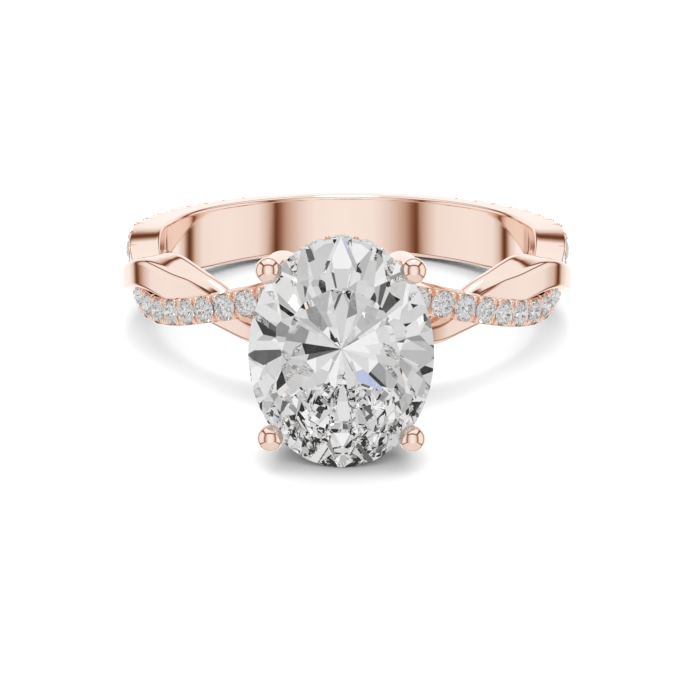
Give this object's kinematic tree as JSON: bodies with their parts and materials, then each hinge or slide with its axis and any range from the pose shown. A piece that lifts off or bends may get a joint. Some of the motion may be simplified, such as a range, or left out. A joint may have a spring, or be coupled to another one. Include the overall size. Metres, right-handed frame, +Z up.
{
  "type": "twisted shank ring",
  "caption": "Finger ring in rose gold: a faceted oval stone in four ball prongs over a hidden halo, on a shank whose pave strand and polished strand twist together.",
  "frame": {"origin": "middle of the bounding box at floor level, with the ring lying on its side", "axes": "+X to the right along the width of the shank's circle, +Y from the head to the back of the shank, +Z up"},
  "size_m": [0.0206, 0.0274, 0.0091],
  "materials": {
    "rose_gold": "polished rose gold",
    "centre_stone": "clear, faceted",
    "small_stones": "clear, faceted"
  },
  "bodies": {
    "root": {"ring_body": "rose_gold", "centre_stone": "centre_stone", "left_pave_stones": "small_stones", "right_pave_stones": "small_stones", "halo_stones": "small_stones"}
  },
  "joints": []
}
